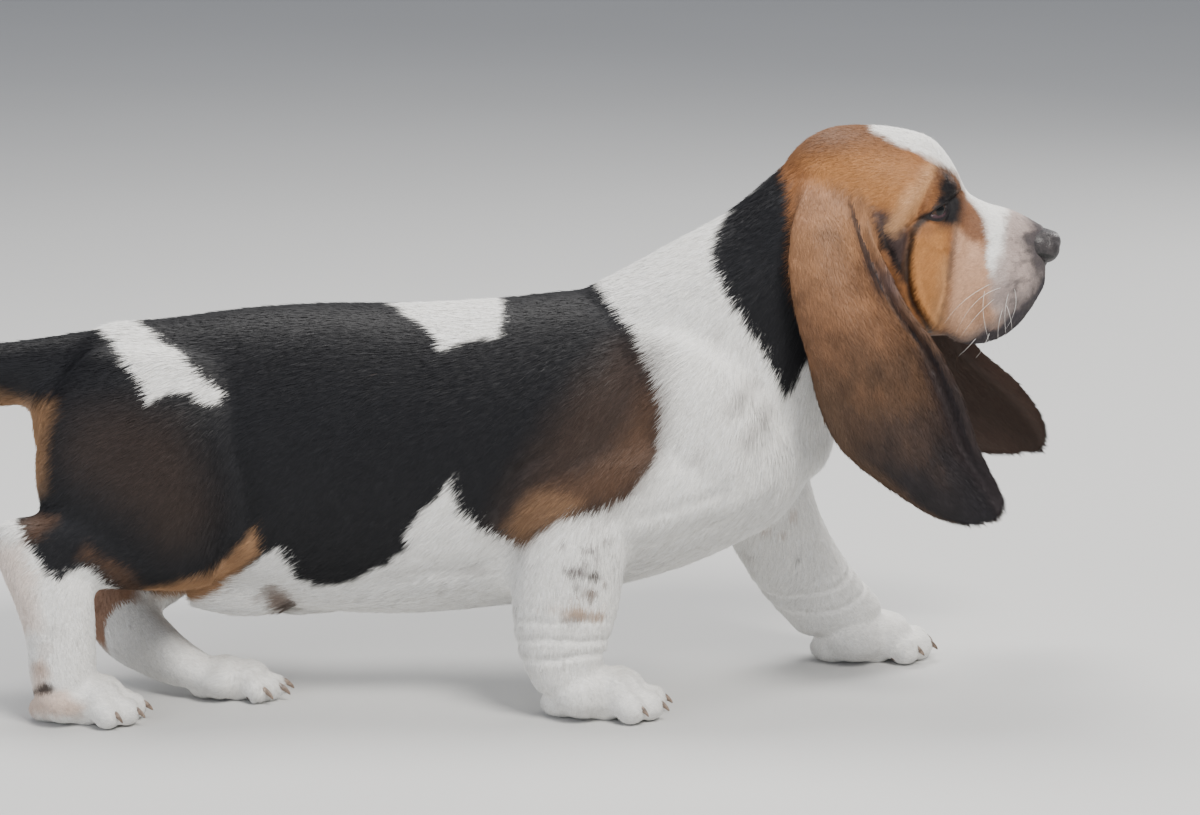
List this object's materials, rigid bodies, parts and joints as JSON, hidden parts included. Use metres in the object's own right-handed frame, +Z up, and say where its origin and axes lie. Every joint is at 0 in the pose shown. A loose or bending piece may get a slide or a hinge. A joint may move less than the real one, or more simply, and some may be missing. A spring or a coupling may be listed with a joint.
{
  "type": "basset hound",
  "caption": "Young basset hound walking, a still life-size figure: long low body, domed head with hanging lips, long folded ears, short heavy legs and a level tail.",
  "frame": {"origin": "on the floor, under the centre of the figure's bounding box", "axes": "+X the way the head points, +Y the animal's left side, +Z up"},
  "size_m": [0.7456, 0.1872, 0.3329],
  "materials": {
    "coat_black": "black short coat",
    "coat_tan": "rust tan short coat",
    "coat_white": "white short coat",
    "coat_brown": "dark brown short coat",
    "nose_leather": "moist black, finely pebbled",
    "eye": "wet gloss"
  },
  "bodies": {
    "root": {"head": "coat_tan", "neck": "coat_white", "torso": "coat_black", "tail": "coat_black", "leg_front_right": "coat_white", "leg_front_left": "coat_white", "leg_hind_right": "coat_black", "leg_hind_left": "coat_black", "paw_front_right": "coat_white", "paw_front_left": "coat_white", "paw_hind_right": "coat_white", "paw_hind_left": "coat_white", "ear_right": "coat_brown", "ear_left": "coat_brown", "nose": "nose_leather", "eye_right": "eye", "eye_left": "eye"}
  },
  "joints": []
}
